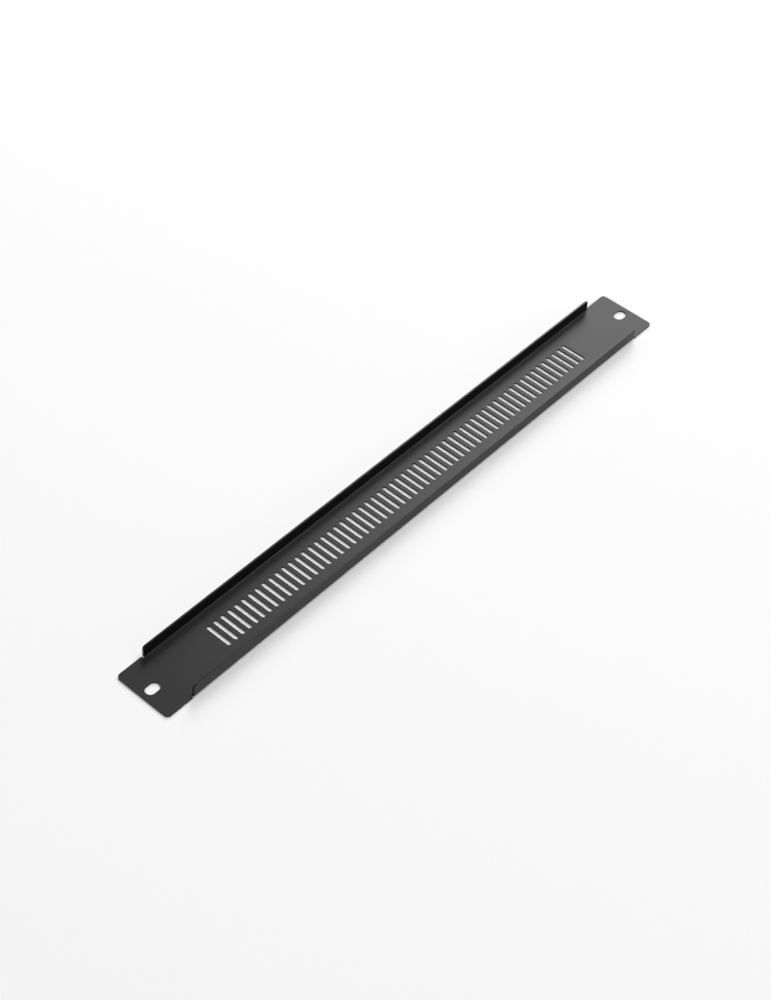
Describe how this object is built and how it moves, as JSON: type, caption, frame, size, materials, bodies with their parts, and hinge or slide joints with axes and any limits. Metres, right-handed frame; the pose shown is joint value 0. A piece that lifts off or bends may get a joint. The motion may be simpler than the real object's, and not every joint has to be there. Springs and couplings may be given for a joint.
{
  "type": "rack blanking panel",
  "caption": "Vented filler panel for a 19-inch rack: folded sheet steel with a slotted ear at each end and a low stiffening flange along both long edges.",
  "frame": {"origin": "middle of the front face, on the plane that faces out of the rack, which is also the plane the panel lies on here", "axes": "+X along the panel's length, from one ear to the other; +Y across its height; +Z from the front face towards the back, where the flanges point"},
  "size_m": [0.4826, 0.0436, 0.01],
  "materials": {
    "black_powder_coat": "satin black powder coat with a faint grain, over steel"
  },
  "bodies": {
    "root": {"blanking_panel": "black_powder_coat"}
  },
  "joints": []
}
